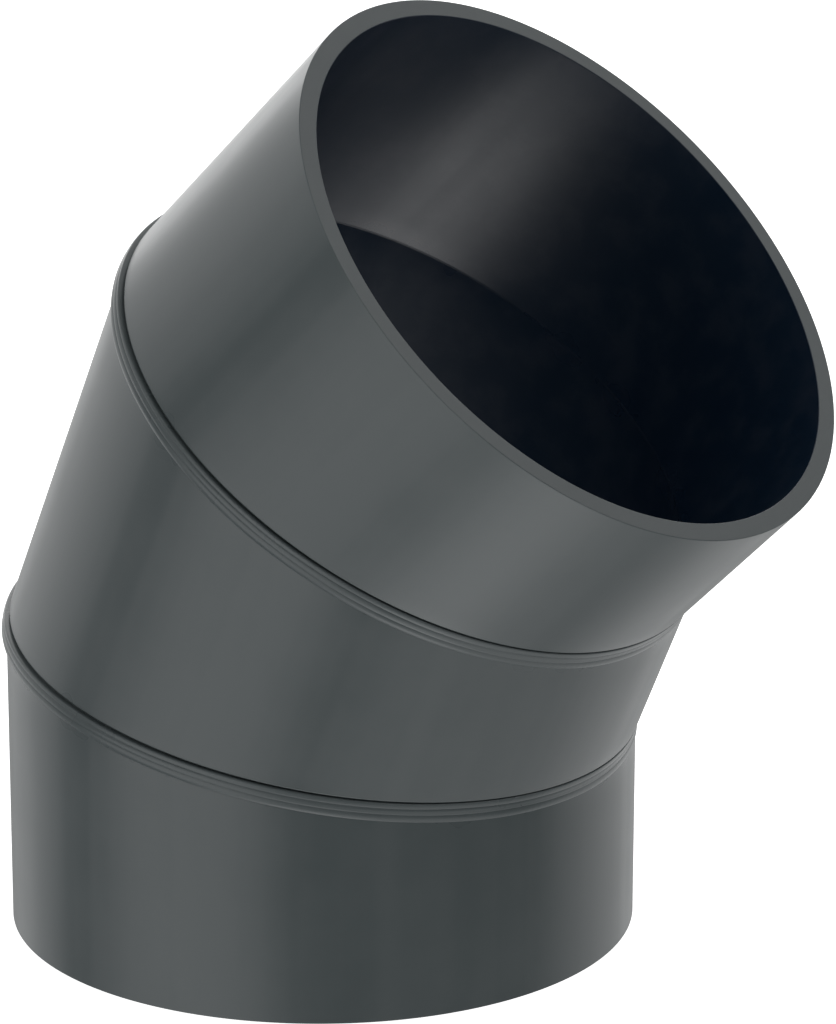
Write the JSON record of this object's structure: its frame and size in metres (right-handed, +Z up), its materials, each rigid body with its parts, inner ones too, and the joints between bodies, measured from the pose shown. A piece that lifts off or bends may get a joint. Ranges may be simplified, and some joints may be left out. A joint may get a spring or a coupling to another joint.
{
  "type": "pvc elbow fitting",
  "caption": "Large PVC pipe elbow that turns a line 45 degrees, mitred from pipe segments and joined by rod welds, with plain spigot ends.",
  "frame": {"origin": "centre of the inlet end face, on the inlet axis", "axes": "+Z up the inlet axis into the fitting, +X toward the side the outlet leans to, +Y across the bend"},
  "size_m": [0.3322, 0.2532, 0.3705],
  "materials": {
    "pipe": "satin",
    "weld_rod": "satin"
  },
  "bodies": {
    "root": {"inlet_leg": "pipe", "middle_gore": "pipe", "outlet_leg": "pipe", "lower_weld_root_run": "weld_rod", "lower_weld_fill_run_lower": "weld_rod", "lower_weld_fill_run_upper": "weld_rod", "lower_weld_cap_run_lower": "weld_rod", "lower_weld_cap_run_centre": "weld_rod", "lower_weld_cap_run_upper": "weld_rod", "upper_weld_root_run": "weld_rod", "upper_weld_fill_run_lower": "weld_rod", "upper_weld_fill_run_upper": "weld_rod", "upper_weld_cap_run_lower": "weld_rod", "upper_weld_cap_run_centre": "weld_rod", "upper_weld_cap_run_upper": "weld_rod"}
  },
  "joints": []
}
